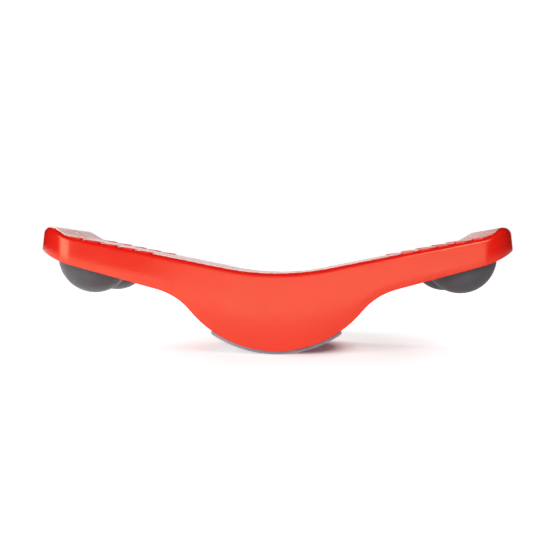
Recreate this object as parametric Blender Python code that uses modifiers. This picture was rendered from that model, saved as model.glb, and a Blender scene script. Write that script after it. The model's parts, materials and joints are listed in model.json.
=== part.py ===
"""Seesaw balance board: a moulded deck with two raised arms that rocks on a rubber-soled belly.

Metres, +Z up. The origin lies on the floor under the middle of the board. X runs along the
board, and the front long side is at -Y. The board rests level, on the lowest line of its sole.
"""

import math

import bmesh
import bpy
import numpy as np
from mathutils import Matrix

# Plan of the deck, at its lower edge
LENGTH = 0.758
WIDTH = 0.330
PLAN_CORNER = 0.055

# Top of the deck, from the middle outwards
VALLEY_HEIGHT = 0.1283
VALLEY_RADIUS = 0.427
ARM_RISE = math.radians(11.3)
LIP_RADIUS = 0.045
LIP_RISE = math.radians(34)
LIP_RUN = 0.0130
CREST_RADIUS = 0.018
CREST_FLAT = 0.0050
END_FILLET = 0.012

# Lower edge of the skirt, from the middle outwards
SOLE_DROP = 0.0058
BELLY_RADIUS = 0.1765
BELLY_ANGLE = math.radians(50)
BLEND_RADIUS = 0.106
UNDER_RISE = math.radians(15.3)
TIP_SWEEP = 0.059
TIP_RADIUS = 0.180

# Walls of the moulding
WALL = 0.004
SIDE_LEAN = 0.0015
END_LEAN = 0.0025
RIM_INNER_FILLET = 0.0015

# Ribs and bosses under the deck
RIB = 0.003
RIB_RECESS = 0.0068
RIB_PITCH_X = 0.052
RIB_PITCH_Y = 0.079
ARM_BAYS = 2
RIB_TO_BUMPER = 0.005
BOSS_WALL = 0.0032
BORE_DEPTH = 0.012

# Grip pads on the arms
PAD_ROWS = 5
PAD_GAP = 0.005
PAD_LENGTH = 0.0225
PAD_WIDTH = 0.034
PAD_HEIGHT = 0.0016
PAD_TAIL = 0.0004
PAD_CORNER = 0.003
PAD_INTO_CORNER = 0.0037
PAD_RIM_INSET = 0.0035

# Rubber bumpers
BUMPER_RADIUS = 0.0586
BUMPER_WALL = 0.022
BUMPER_COLLAR = 0.0065
BUMPER_LIP = 0.004
BUMPER_LIP_WIDTH = 0.0046
BUMPER_END_ROOM = 0.0286
BUMPER_SIDE_ROOM = 0.0019
MOUNT_DEPTH = 0.0177
RING_STEP = 0.0046
MOUNT_RIB_STEP = 0.0035
SCREW_INSET = 0.0085
FLANGE = 0.0035
FLANGE_SLACK = 0.0011
LIP_SLACK = 0.0005

# Rocker plate and sole
PLATE = 0.004
PLATE_PAST_SOLE = math.radians(1.5)
PLATE_SIDE_SLACK = 0.0009
POST_WALL = 0.0025
POST_RISE = 0.009
POST_WEB = 0.004
POST_SLACK = 0.001
SOLE_ANGLE = math.radians(35)
SOLE_SIDE_INSET = 0.012
SOLE_BREAK = 0.001
SOLE_NOSE = 0.003
PEG_RADIUS = 0.005
PEG_END_INSET = math.radians(7.5)
PEG_PITCH = math.radians(15)
PEG_SIDE_INSET = 0.030

# Screws
SCREW_RADIUS = 0.002
HEAD_RADIUS = 0.0045
HEAD_HEIGHT = 0.003
HEAD_ROUND = 0.0012
HEAD_SLACK = 0.001
HOLE_SLACK = 0.00075
TIP_LENGTH = 0.002
TIP_ROOM = 0.002

# Clearance between pieces that touch
GAP = 0.0003

# How finely round shapes are divided
ARC_STEP = math.radians(4.1)
SOLE_STEP = math.radians(2.5)
STATION_STEP = 0.004
FILLET_STEPS = 3
CORNER_STEPS = 6
CROWN_STEPS = 7
INNER_CROWN_STEPS = 4
TURN_SIDES = 24
SEAT_SIDES = 16
POST_SIDES = 12
HOLE_SIDES = 8
DRUM_SIDES = 72
MERGE = 0.00001
SHARP = math.radians(35)
CREASE = math.radians(60)

# Sizes that follow from the ones above
RIM_FILLET = WALL + RIM_INNER_FILLET
SCREW_BORE = SCREW_RADIUS + GAP
SCREW_HOLE = SCREW_RADIUS + HOLE_SLACK
BOSS_RADIUS = SCREW_BORE + BOSS_WALL
COUNTERBORE = HEAD_RADIUS + HEAD_SLACK
POST_RADIUS = COUNTERBORE + POST_WALL
BELLY_CENTRE = BELLY_RADIUS + SOLE_DROP
PLATE_INNER = BELLY_RADIUS - RIB_RECESS + GAP
PLATE_OUTER = PLATE_INNER + PLATE
SOLE_OUTER = BELLY_RADIUS + SOLE_DROP
SOLE_WIDTH = WIDTH - 2 * SOLE_SIDE_INSET
MOUNT_CENTRE = LENGTH / 2 - BUMPER_END_ROOM - BUMPER_RADIUS
MOUNT_SIDE = WIDTH / 2 - WALL - SIDE_LEAN - BUMPER_SIDE_ROOM - BUMPER_RADIUS
BUMPER_TOP = -MOUNT_DEPTH - GAP
BUMPER_INNER = BUMPER_RADIUS - BUMPER_WALL
HUB_RADIUS = BUMPER_INNER - BUMPER_LIP_WIDTH - LIP_SLACK
FLANGE_TOP = BUMPER_TOP - BUMPER_LIP - GAP
SCREW_CIRCLE = HUB_RADIUS - SCREW_INSET


# Scene

def clear_scene():
    for obj in list(bpy.data.objects):
        bpy.data.objects.remove(obj)


def new_collection(name):
    collection = bpy.data.collections.new(name)
    bpy.context.scene.collection.children.link(collection)
    return collection


def plastic(name, colour, roughness, metallic=0.0):
    material = bpy.data.materials.new(name)
    material.use_nodes = True
    shader = material.node_tree.nodes["Principled BSDF"]
    shader.inputs["Base Color"].default_value = (*colour, 1)
    shader.inputs["Roughness"].default_value = roughness
    shader.inputs["Metallic"].default_value = metallic
    return material


# Objects

def add(name, mesh, collection, material=None, frame=None):
    """A new object that holds this mesh, as a piece if it has a material and as a helper if not."""
    obj = bpy.data.objects.new(name, mesh)
    collection.objects.link(obj)
    if frame is not None:
        obj.matrix_world = frame
    if material is None:
        obj.hide_render = True
        obj.display_type = "WIRE"
    else:
        mesh.materials.append(material)
    return obj


def mesh_of(name, bm):
    mesh = bpy.data.meshes.new(name)
    bm.to_mesh(mesh)
    bm.free()
    return mesh


def box(name, low, high, collection, frame=None):
    bm = bmesh.new()
    size = [b - a for a, b in zip(low, high)]
    middle = [(a + b) / 2 for a, b in zip(low, high)]
    bmesh.ops.create_cube(bm, size=1, matrix=Matrix.Translation(middle) @ Matrix.Diagonal((*size, 1)))
    return add(name, mesh_of(name, bm), collection, frame=frame)


def cylinder(name, radius, low, high, collection, frame=None, sides=HOLE_SIDES):
    """A cylinder along the frame's Z axis, from the height low to the height high."""
    bm = bmesh.new()
    bmesh.ops.create_cone(
        bm, cap_ends=True, segments=sides, radius1=radius, radius2=radius, depth=high - low,
        matrix=Matrix.Translation((0, 0, (low + high) / 2)),
    )
    return add(name, mesh_of(name, bm), collection, frame=frame)


def turned(name, profile, collection, material=None, frame=None, sides=TURN_SIDES, closed=False):
    """A profile of (radius, height) points, turned round the frame's Z axis.

    Its outer side runs downwards.
    """
    mesh = bpy.data.meshes.new(name)
    count = len(profile)
    edges = [(i, (i + 1) % count) for i in range(count if closed else count - 1)]
    mesh.from_pydata([(r, 0, z) for r, z in profile], edges, [])
    obj = add(name, mesh, collection, material, frame)
    screw = obj.modifiers.new("Turn", "SCREW")
    screw.axis = "Z"
    screw.steps = screw.render_steps = sides
    screw.use_merge_vertices = True
    screw.merge_threshold = MERGE
    return obj


def extruded(name, outline, width, collection, material=None):
    """A closed outline of (x, z) points as a mesh that runs across the board, width wide."""
    curve = bpy.data.curves.new(name, "CURVE")
    curve.dimensions = "2D"
    curve.fill_mode = "BOTH"
    curve.extrude = width / 2
    spline = curve.splines.new("POLY")
    spline.points.add(len(outline) - 1)
    for point, (x, z) in zip(spline.points, outline):
        point.co = (x, z, 0, 1)
    spline.use_cyclic_u = True
    flat = bpy.data.objects.new(name + "_outline", curve)
    flat.matrix_world = Matrix.Rotation(math.pi / 2, 4, "X")
    bpy.context.scene.collection.objects.link(flat)
    bpy.context.view_layer.update()
    mesh = bpy.data.meshes.new_from_object(flat.evaluated_get(bpy.context.evaluated_depsgraph_get()))
    bm = bmesh.new()
    bm.from_mesh(mesh)
    bmesh.ops.remove_doubles(bm, verts=bm.verts, dist=MERGE)
    bmesh.ops.recalc_face_normals(bm, faces=bm.faces)
    bm.to_mesh(mesh)
    bm.free()
    obj = add(name, mesh, collection, material, flat.matrix_world.copy())
    bpy.data.objects.remove(flat)
    return obj


def combine(obj, operation, other, solver="EXACT"):
    """A Boolean with one object, or with all that a collection holds."""
    modifier = obj.modifiers.new(operation.title(), "BOOLEAN")
    modifier.operation = operation
    modifier.solver = solver
    if isinstance(other, bpy.types.Collection):
        modifier.operand_type = "COLLECTION"
        modifier.collection = other
    else:
        modifier.object = other


def break_edges(obj, width):
    bevel = obj.modifiers.new("Edge break", "BEVEL")
    bevel.width = width
    bevel.segments = 1
    bevel.limit_method = "ANGLE"
    bevel.angle_limit = CREASE


def settle(obj):
    """Applies the modifiers and shades the piece smooth, with its sharp edges kept."""
    graph = bpy.context.evaluated_depsgraph_get()
    mesh = bpy.data.meshes.new_from_object(obj.evaluated_get(graph))
    obj.modifiers.clear()
    obj.data = mesh
    mesh.name = obj.name
    mesh.shade_smooth()
    mesh.set_sharp_from_angle(angle=SHARP)


# Side profiles

def walk(x, z, moves):
    """Points (x, z, heading) along arcs and straights, from a level start.

    A move is (length,) for a straight, or (radius, heading) for an arc that turns to that heading.
    """
    heading = 0.0
    points = [(x, z, heading)]
    for move in moves:
        if len(move) == 1:
            x += move[0] * math.cos(heading)
            z += move[0] * math.sin(heading)
            points.append((x, z, heading))
            continue
        radius, end = move
        turn = math.copysign(radius, end - heading)
        centre_x = x - turn * math.sin(heading)
        centre_z = z + turn * math.cos(heading)
        steps = max(1, math.ceil(abs(end - heading) / ARC_STEP))
        for angle in np.linspace(heading, end, steps + 1)[1:]:
            x = centre_x + turn * math.sin(angle)
            z = centre_z - turn * math.cos(angle)
            points.append((x, z, float(angle)))
        heading = end
    return points


def deck_profile():
    """Half of the deck's top, from the middle of the valley to the outer edge of the crest."""
    end = LENGTH / 2 - END_LEAN - END_FILLET
    lip_length = (
        LIP_RADIUS * (math.sin(LIP_RISE) - math.sin(ARM_RISE))
        + LIP_RUN * math.cos(LIP_RISE)
        + CREST_RADIUS * math.sin(LIP_RISE)
        + CREST_FLAT
    )
    arm = (end - lip_length - VALLEY_RADIUS * math.sin(ARM_RISE)) / math.cos(ARM_RISE)
    lip = [(LIP_RADIUS, LIP_RISE), (LIP_RUN,), (CREST_RADIUS, 0.0), (CREST_FLAT,)]
    return walk(0, VALLEY_HEIGHT, [(VALLEY_RADIUS, ARM_RISE), (arm,), *lip])


def skirt_profile():
    """Half of the skirt's lower edge, from under the belly to the end of the board."""
    round_belly = walk(0, SOLE_DROP, [(BELLY_RADIUS, BELLY_ANGLE), (BLEND_RADIUS, UNDER_RISE)])
    arm = (LENGTH / 2 - TIP_SWEEP - round_belly[-1][0]) / math.cos(UNDER_RISE)
    tip_rise = math.asin(math.sin(UNDER_RISE) + TIP_SWEEP / TIP_RADIUS)
    moves = [(BELLY_RADIUS, BELLY_ANGLE), (BLEND_RADIUS, UNDER_RISE), (arm,), (TIP_RADIUS, tip_rise)]
    return walk(0, SOLE_DROP, moves)


DECK = deck_profile()
SKIRT = skirt_profile()


def height_on(profile, x):
    """Height of a profile at a distance from the middle. Past its end it runs on level."""
    return float(np.interp(abs(x), [p[0] for p in profile], [p[1] for p in profile]))


def mirrored(half):
    """A whole line of (x, z) points, left to right, from its right half that starts on the middle."""
    return [(-x, z) for x, z in reversed(half[1:])] + half


# Deck shell

def plan_stations():
    """Points round a quarter of the plan, from the middle of the long side to the middle of the end.

    Each is (x, y, normal x, normal y).
    """
    side = sorted({round(p[0], 5) for p in DECK + SKIRT if p[0] < LENGTH / 2 - PLAN_CORNER})
    stations = [(side[0], WIDTH / 2, 0.0, 1.0)]
    for x in side[1:]:
        if x - stations[-1][0] > STATION_STEP:
            stations.append((x, WIDTH / 2, 0.0, 1.0))
    corner_x = LENGTH / 2 - PLAN_CORNER
    corner_y = WIDTH / 2 - PLAN_CORNER
    if corner_x - stations[-1][0] < STATION_STEP:
        stations.pop()
    for angle in np.linspace(0, math.pi / 2, CORNER_STEPS + 1):
        nx = math.sin(angle)
        ny = math.cos(angle)
        stations.append((corner_x + PLAN_CORNER * nx, corner_y + PLAN_CORNER * ny, nx, ny))
    stations.append((LENGTH / 2, 0.0, 1.0, 0.0))
    return stations


def station_rings(x, y, nx, ny):
    """The outer surface at one station, from the skirt's lower edge up to the flat of the deck."""
    lean = SIDE_LEAN + (END_LEAN - SIDE_LEAN) * nx * nx
    fillet = RIM_FILLET + (END_FILLET - RIM_FILLET) * nx * nx
    points = [(x, y, height_on(SKIRT, x))]
    for angle in np.linspace(0, math.pi / 2, FILLET_STEPS + 1):
        inset = lean + fillet * (1 - math.cos(angle))
        ring_x = x - inset * nx
        ring_y = y - inset * ny
        points.append((ring_x, ring_y, height_on(DECK, ring_x) - fillet * (1 - math.sin(angle))))
    return points


def deck_surface(bm):
    """A quarter of the outer surface, open along the skirt's edge and the planes that it is mirrored in."""
    stations = plan_stations()
    columns = [[bm.verts.new(p) for p in station_rings(*s)] for s in stations]
    for column in columns[:-2]:
        x, _, z = column[-1].co
        column.append(bm.verts.new((x, 0, z)))
    columns[-2].append(columns[-1][-1])
    for left, right in zip(columns[:-1], columns[1:]):
        for i in range(len(right) - 1):
            bm.faces.new((left[i], left[i + 1], right[i + 1], right[i]))


def deck_envelope(collection):
    """The room that ribs and bosses may fill, from the middle of the deck's wall down to the rib edge."""
    middle = WALL / 2
    crest_x, crest_z, _ = DECK[-1]
    centre_z = crest_z - END_FILLET
    radius = END_FILLET - middle
    end = [
        (crest_x + radius * math.sin(a), centre_z + radius * math.cos(a))
        for a in np.linspace(0, math.pi / 2, FILLET_STEPS + 1)[1:]
    ]
    upper = mirrored([(x, z - middle) for x, z, _ in DECK] + end)
    lean = END_LEAN * RIB_RECESS / (centre_z - SKIRT[-1][1])
    last_x = LENGTH / 2 - middle - lean
    last_z = height_on(SKIRT, last_x) + RIB_RECESS
    raised = [(x - RIB_RECESS * math.sin(a), z + RIB_RECESS * math.cos(a)) for x, z, a in SKIRT]
    lower = mirrored([p for p in raised if p[0] < crest_x] + [(last_x, last_z)])
    outline = upper + lower[::-1]
    return extruded("rib_envelope", outline, WIDTH - WALL - 2 * SIDE_LEAN, collection)


def arm_frame(side, x, y):
    """A frame on the plane of an arm's top: its Z is the deck's normal and its X runs along the slope.

    side is 1 for the right arm and -1 for the left, and x is the distance from the middle.
    """
    start_x, start_z, _ = next(p for p in DECK if p[2] == ARM_RISE)
    z = start_z + (x - start_x) * math.tan(ARM_RISE)
    return Matrix.Translation((side * x, y, z)) @ Matrix.Rotation(-side * ARM_RISE, 4, "Y")


def bumper_places():
    """(name, side, frame) of each bumper's mount."""
    for across, sign_y in (("front", -1), ("rear", 1)):
        for along, side in (("left", -1), ("right", 1)):
            yield f"{across}_{along}", side, arm_frame(side, MOUNT_CENTRE, sign_y * MOUNT_SIDE)


def screw_spots():
    return [
        (SCREW_CIRCLE * math.cos(a), SCREW_CIRCLE * math.sin(a))
        for a in (0, math.pi / 2, math.pi, 3 * math.pi / 2)
    ]


def post_places():
    """(x, y) of the rocker plate's posts, on crossings of the ribs."""
    return [(i * RIB_PITCH_X, j * RIB_PITCH_Y) for i in (-1, 0, 1) for j in (-1, 1)]


def post_top(x):
    """Height of the flat top of a post on the rocker plate."""
    return BELLY_CENTRE - math.sqrt(PLATE_INNER ** 2 - x * x) + POST_RISE


def rib_stations():
    """Distances from the middle of the ribs that run across the board."""
    belly = [i * RIB_PITCH_X for i in range(3)]
    arm = MOUNT_CENTRE - BUMPER_RADIUS - RIB_TO_BUMPER
    step = (arm - belly[-1]) / ARM_BAYS
    return belly + [belly[-1] + (i + 1) * step for i in range(ARM_BAYS)]


def make_ribs(collection):
    """Ribs along and across the board, as tall plates that the envelope trims."""
    tall = DECK[-1][1]
    reach = LENGTH / 2
    across = WIDTH / 2
    cross = rib_stations()
    half = RIB / 2
    for x in [-x for x in cross[:0:-1]] + cross:
        box("rib_across", (x - half, -across, 0), (x + half, across, tall), collection)
    for y in (-RIB_PITCH_Y, RIB_PITCH_Y):
        box("rib_along", (-cross[-1], y - half, 0), (cross[-1], y + half, tall), collection)
    box("rib_spine", (-reach, -half, 0), (reach, half, tall), collection)


def make_mounts(collection):
    """What each bumper seats on: a ring, cross ribs through it and a boss for each screw."""
    tall = DECK[-1][1] - VALLEY_HEIGHT
    ring = BUMPER_RADIUS - RING_STEP
    half = RIB / 2
    rib_low = MOUNT_RIB_STEP - MOUNT_DEPTH
    inward = BUMPER_RADIUS + RIB_TO_BUMPER
    outward = LENGTH / 2 - MOUNT_CENTRE
    to_side = WIDTH / 2 - MOUNT_SIDE
    for name, side, frame in bumper_places():
        profile = [(ring - RIB, tall), (ring, tall), (ring, -MOUNT_DEPTH), (ring - RIB, -MOUNT_DEPTH)]
        turned(f"ring_{name}", profile, collection, frame=frame, sides=SEAT_SIDES, closed=True)
        reach = sorted((-side * inward, side * outward))
        box("rib_mount", (reach[0], -half, rib_low), (reach[1], half, tall), collection, frame)
        outer = math.copysign(to_side, frame.translation.y)
        reach = sorted((-frame.translation.y, outer))
        box("rib_mount", (-half, reach[0], rib_low), (half, reach[1], tall), collection, frame)
        for x, y in screw_spots():
            spot = frame @ Matrix.Translation((x, y, 0))
            cylinder("boss_mount", BOSS_RADIUS, -MOUNT_DEPTH, tall, collection, spot)


def make_belly_bosses(collection):
    for x, y in post_places():
        spot = Matrix.Translation((x, y, 0))
        cylinder("boss_belly", BOSS_RADIUS, post_top(x) + GAP, DECK[-1][1], collection, spot)


def make_deck_cutters(collection):
    """The bores in the bosses, and the room round the rocker plate's posts."""
    for _, _, frame in bumper_places():
        for x, y in screw_spots():
            spot = frame @ Matrix.Translation((x, y, 0))
            cylinder("bore", SCREW_BORE, BUMPER_TOP, BORE_DEPTH - MOUNT_DEPTH, collection, spot)
    for x, y in post_places():
        spot = Matrix.Translation((x, y, post_top(x) + GAP))
        room = POST_RADIUS + POST_SLACK
        cylinder("post_room", room, -2 * POST_RISE - POST_RADIUS, 0, collection, spot, POST_SIDES)
        cylinder("bore", SCREW_BORE, -GAP, BORE_DEPTH, collection, spot)


def make_pads(collection):
    """Grip pads in rows along both rims of each arm, as wedges with their tall ends to the valley."""
    first_x = LENGTH / 2 - PLAN_CORNER + PAD_INTO_CORNER - PAD_LENGTH / 2
    fall = (PAD_HEIGHT - PAD_TAIL) / PAD_LENGTH
    y = WIDTH / 2 - SIDE_LEAN - PAD_RIM_INSET - PAD_WIDTH / 2
    for side in (-1, 1):
        for row in range(PAD_ROWS):
            x = first_x - row * (PAD_LENGTH + PAD_GAP)
            for sign_y in (-1, 1):
                frame = arm_frame(side, x, sign_y * y)
                bm = bmesh.new()
                size = (PAD_LENGTH, PAD_WIDTH, 2 * PAD_HEIGHT, 1)
                bmesh.ops.create_cube(bm, size=1, matrix=Matrix.Diagonal(size))
                upright = [e for e in bm.edges if abs(e.verts[0].co.z - e.verts[1].co.z) > PAD_HEIGHT]
                bmesh.ops.bevel(bm, geom=upright, offset=PAD_CORNER, segments=1, affect="EDGES")
                for vert in bm.verts:
                    if vert.co.z > 0:
                        vert.co.z -= fall * (side * vert.co.x + PAD_LENGTH / 2)
                add("pad", mesh_of("pad", bm), collection, frame=frame)


def make_deck(parts, material):
    helpers = {
        name: new_collection(name) for name in ("deck_ribs", "deck_pads", "deck_cutters", "deck_trim")
    }
    bm = bmesh.new()
    deck_surface(bm)
    deck = add("deck_shell", mesh_of("deck_shell", bm), parts, material)
    mirror = deck.modifiers.new("Mirror", "MIRROR")
    mirror.use_axis = (True, True, False)
    mirror.use_clip = True
    mirror.merge_threshold = MERGE
    solidify = deck.modifiers.new("Wall", "SOLIDIFY")
    solidify.thickness = WALL
    solidify.offset = -1
    solidify.use_even_offset = True
    make_ribs(helpers["deck_ribs"])
    make_mounts(helpers["deck_ribs"])
    make_belly_bosses(helpers["deck_ribs"])
    low = (-RIB, -RIB, VALLEY_HEIGHT / 2)
    high = (RIB, RIB, VALLEY_HEIGHT)
    stock = box("rib_stock", low, high, helpers["deck_trim"])
    # The exact solver leaves out cells where many ribs, rings and bosses cross.
    combine(stock, "UNION", helpers["deck_ribs"], "MANIFOLD")
    combine(stock, "INTERSECT", deck_envelope(helpers["deck_trim"]), "MANIFOLD")
    combine(deck, "UNION", stock, "MANIFOLD")
    make_deck_cutters(helpers["deck_cutters"])
    combine(deck, "DIFFERENCE", helpers["deck_cutters"], "MANIFOLD")
    make_pads(helpers["deck_pads"])
    combine(deck, "UNION", helpers["deck_pads"], "MANIFOLD")
    return deck


# Bumpers

def bumper_profile():
    """The half ball's wall, from the inside of its crown, over its lip and down its outer side."""
    centre = BUMPER_TOP - BUMPER_COLLAR
    under_lip = BUMPER_TOP - BUMPER_LIP
    lip = BUMPER_INNER - BUMPER_LIP_WIDTH
    inside = [
        (BUMPER_INNER * math.sin(a), centre - BUMPER_INNER * math.cos(a))
        for a in np.linspace(0, math.pi / 2, INNER_CROWN_STEPS + 1)
    ]
    mouth = [(BUMPER_INNER, under_lip), (lip, under_lip), (lip, BUMPER_TOP), (BUMPER_RADIUS, BUMPER_TOP)]
    outside = [
        (BUMPER_RADIUS * math.sin(a), centre - BUMPER_RADIUS * math.cos(a))
        for a in np.linspace(math.pi / 2, 0, CROWN_STEPS + 1)
    ]
    return inside + mouth + outside


def disc_profile():
    """The mounting disc: a hub inside the bumper's lip and a flange under it."""
    flange = BUMPER_INNER - FLANGE_SLACK
    bottom = FLANGE_TOP - FLANGE
    return [
        (0, BUMPER_TOP),
        (HUB_RADIUS, BUMPER_TOP),
        (HUB_RADIUS, FLANGE_TOP),
        (flange, FLANGE_TOP),
        (flange, bottom),
        (0, bottom),
    ]


def screw_profile(length):
    """A round-headed screw that points up, with the face that its head bears on at height 0."""
    return [
        (0, length),
        (SCREW_RADIUS, length - TIP_LENGTH),
        (SCREW_RADIUS, 0),
        (HEAD_RADIUS, 0),
        (HEAD_RADIUS, HEAD_ROUND - HEAD_HEIGHT),
        (HEAD_RADIUS - HEAD_ROUND, -HEAD_HEIGHT),
        (0, -HEAD_HEIGHT),
    ]


def make_bumpers(parts, rubber, plastic_dark, steel):
    holes = new_collection("disc_cutters")
    disc_bottom = FLANGE_TOP - FLANGE
    for name, _, frame in bumper_places():
        turned(f"bumper_{name}", bumper_profile(), parts, rubber, frame)
        disc = turned(f"bumper_disc_{name}", disc_profile(), parts, plastic_dark, frame, SEAT_SIDES)
        for number, (x, y) in enumerate(screw_spots(), 1):
            spot = frame @ Matrix.Translation((x, y, disc_bottom - GAP))
            hole = cylinder(
                f"disc_hole_{name}_{number}", SCREW_HOLE, 0, BUMPER_TOP - disc_bottom + 2 * GAP, holes, spot
            )
            combine(disc, "DIFFERENCE", hole)
            length = BORE_DEPTH - MOUNT_DEPTH - TIP_ROOM - (disc_bottom - GAP)
            turned(f"bumper_screw_{name}_{number}", screw_profile(length), parts, steel, spot, HOLE_SIDES)


# Rocker

def arc(radius, first, last, step):
    """Points on a circle round the belly's centre. Angles run from straight down towards +X."""
    count = max(1, round(abs(last - first) / step))
    angles = np.linspace(first, last, count + 1)
    return [(radius * math.sin(a), BELLY_CENTRE - radius * math.cos(a)) for a in angles]


def make_plate(parts, material):
    """The curved carrier inside the belly, with a post under each boss and holes for the sole's pegs."""
    end = SOLE_ANGLE + PLATE_PAST_SOLE
    outline = arc(PLATE_OUTER, -end, end, ARC_STEP) + arc(PLATE_INNER, end, -end, ARC_STEP)
    plate = extruded("rocker_plate", outline, WIDTH - 2 * (WALL + PLATE_SIDE_SLACK), parts, material)
    posts = new_collection("plate_posts")
    cutters = new_collection("plate_cutters")
    middle = Matrix.Translation((0, 0, BELLY_CENTRE)) @ Matrix.Rotation(math.pi / 2, 4, "X")
    within = (PLATE_INNER + PLATE_OUTER) / 2
    trim = new_collection("plate_trim")
    drum = cylinder("post_trim", within, -WIDTH / 2, WIDTH / 2, trim, middle, DRUM_SIDES)
    deep = -POST_RISE - PLATE - POST_RADIUS
    for x, y in post_places():
        spot = Matrix.Translation((x, y, post_top(x)))
        post = cylinder("post", POST_RADIUS, deep, 0, posts, spot, POST_SIDES)
        combine(post, "INTERSECT", drum)
        cylinder("counterbore", COUNTERBORE, deep, -POST_WEB, cutters, spot, POST_SIDES)
        cylinder("screw_hole", SCREW_HOLE, -POST_RISE, GAP, cutters, spot)
    for frame in peg_places():
        cylinder("peg_hole", PEG_RADIUS + GAP, PLATE_INNER - GAP, PLATE_OUTER + GAP, cutters, frame)
    combine(plate, "UNION", posts)
    combine(plate, "DIFFERENCE", cutters)


def peg_places():
    """Frames at the belly's centre whose Z axis points out along each peg."""
    outer = SOLE_ANGLE - PEG_END_INSET
    inner = outer - PEG_PITCH
    y = SOLE_WIDTH / 2 - PEG_SIDE_INSET
    for angle in (-outer, -inner, inner, outer):
        for peg_y in (-y, y):
            yield Matrix.Translation((0, peg_y, BELLY_CENTRE)) @ Matrix.Rotation(math.pi - angle, 4, "Y")


def make_sole(parts, material):
    """The rubber strip that the board rolls on, with flats that touch its rolling circle."""
    inner = PLATE_OUTER + GAP
    flats = 2 * round(SOLE_ANGLE / SOLE_STEP) + 1
    step = 2 * SOLE_ANGLE / flats
    touching = SOLE_OUTER / math.cos(step / 2)
    nose = SOLE_NOSE / SOLE_OUTER
    half = [
        *arc(touching, step / 2, SOLE_ANGLE - step, step),
        *arc(SOLE_OUTER, SOLE_ANGLE - nose, SOLE_ANGLE - nose / 2, nose),
        *arc(SOLE_OUTER - SOLE_NOSE, SOLE_ANGLE, SOLE_ANGLE, step)[:1],
    ]
    bottom = [(-x, z) for x, z in reversed(half)] + half
    top = arc(inner, SOLE_ANGLE - nose / 2, -SOLE_ANGLE + nose / 2, ARC_STEP)
    sole = extruded("rocker_sole", bottom + top, SOLE_WIDTH, parts, material)
    break_edges(sole, SOLE_BREAK)
    pegs = new_collection("sole_pegs")
    for frame in peg_places():
        cylinder("peg", PEG_RADIUS, PLATE_INNER + GAP, inner + PLATE / 2, pegs, frame)
    combine(sole, "UNION", pegs)


def make_rocker_screws(parts, steel):
    across = {-1: "front", 1: "rear"}
    along = {-1: "left", 0: "middle", 1: "right"}
    for x, y in post_places():
        name = f"rocker_screw_{across[round(y / RIB_PITCH_Y)]}_{along[round(x / RIB_PITCH_X)]}"
        seat = Matrix.Translation((x, y, post_top(x) - POST_WEB - GAP))
        length = GAP + POST_WEB + GAP + BORE_DEPTH - TIP_ROOM
        turned(name, screw_profile(length), parts, steel, seat, HOLE_SIDES)


def main():
    clear_scene()
    red = plastic("deck_red", (0.76, 0.034, 0.019), 0.35)
    grey_rubber = plastic("bumper_rubber", (0.075, 0.072, 0.078), 0.6)
    sole_rubber = plastic("sole_rubber", (0.30, 0.29, 0.32), 0.7)
    dark_plastic = plastic("dark_plastic", (0.03, 0.03, 0.032), 0.5)
    steel = plastic("zinc_steel", (0.62, 0.62, 0.64), 0.35, 1.0)
    parts = new_collection("seesaw_balance_board")
    make_deck(parts, red)
    make_bumpers(parts, grey_rubber, dark_plastic, steel)
    make_plate(parts, dark_plastic)
    make_sole(parts, sole_rubber)
    make_rocker_screws(parts, steel)
    for obj in parts.objects:
        settle(obj)


main()
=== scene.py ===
"""Looks of the seesaw balance board: fine surfaces, materials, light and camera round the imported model.

Metres, +Z up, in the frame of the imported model. X runs along the board and the camera is at -Y.
"""

import json
import math

import bmesh
import bpy
import numpy as np
from mathutils import Matrix, Vector

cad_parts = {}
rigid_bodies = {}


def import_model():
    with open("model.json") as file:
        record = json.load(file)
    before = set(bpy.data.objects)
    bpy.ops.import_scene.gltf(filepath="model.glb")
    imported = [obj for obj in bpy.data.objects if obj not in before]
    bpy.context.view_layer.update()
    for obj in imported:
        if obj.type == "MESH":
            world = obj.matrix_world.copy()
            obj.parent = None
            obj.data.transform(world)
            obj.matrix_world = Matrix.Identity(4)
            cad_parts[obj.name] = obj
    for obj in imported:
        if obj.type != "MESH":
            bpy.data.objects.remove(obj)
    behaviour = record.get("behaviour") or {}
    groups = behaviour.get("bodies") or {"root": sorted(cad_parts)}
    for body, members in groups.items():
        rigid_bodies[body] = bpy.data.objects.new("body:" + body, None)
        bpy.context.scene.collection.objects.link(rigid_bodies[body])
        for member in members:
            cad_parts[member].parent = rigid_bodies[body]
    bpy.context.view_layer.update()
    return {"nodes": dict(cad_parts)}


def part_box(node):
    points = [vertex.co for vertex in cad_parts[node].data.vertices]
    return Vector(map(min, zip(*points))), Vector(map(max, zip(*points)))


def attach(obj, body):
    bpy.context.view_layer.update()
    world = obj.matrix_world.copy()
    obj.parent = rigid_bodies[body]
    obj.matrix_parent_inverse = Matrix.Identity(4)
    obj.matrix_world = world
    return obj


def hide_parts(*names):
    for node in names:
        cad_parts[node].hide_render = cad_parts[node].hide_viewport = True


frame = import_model()

# Overall sizes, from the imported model
DECK_LOW, DECK_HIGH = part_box("deck_shell")
LENGTH = DECK_HIGH.x - DECK_LOW.x
WIDTH = DECK_HIGH.y - DECK_LOW.y

# Plan and top of the deck
PLAN_CORNER = 0.055
VALLEY_HEIGHT = 0.1283
VALLEY_RADIUS = 0.427
ARM_RISE = math.radians(11.3)
LIP_RADIUS = 0.045
LIP_RISE = math.radians(34)
LIP_RUN = 0.0130
CREST_RADIUS = 0.018
CREST_FLAT = 0.0050
END_FILLET = 0.012

# Lower edge of the skirt
SOLE_DROP = 0.0058
BELLY_RADIUS = 0.1765
BELLY_ANGLE = math.radians(50)
BLEND_RADIUS = 0.106
UNDER_RISE = math.radians(15.3)
TIP_SWEEP = 0.059
TIP_RADIUS = 0.180

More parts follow.
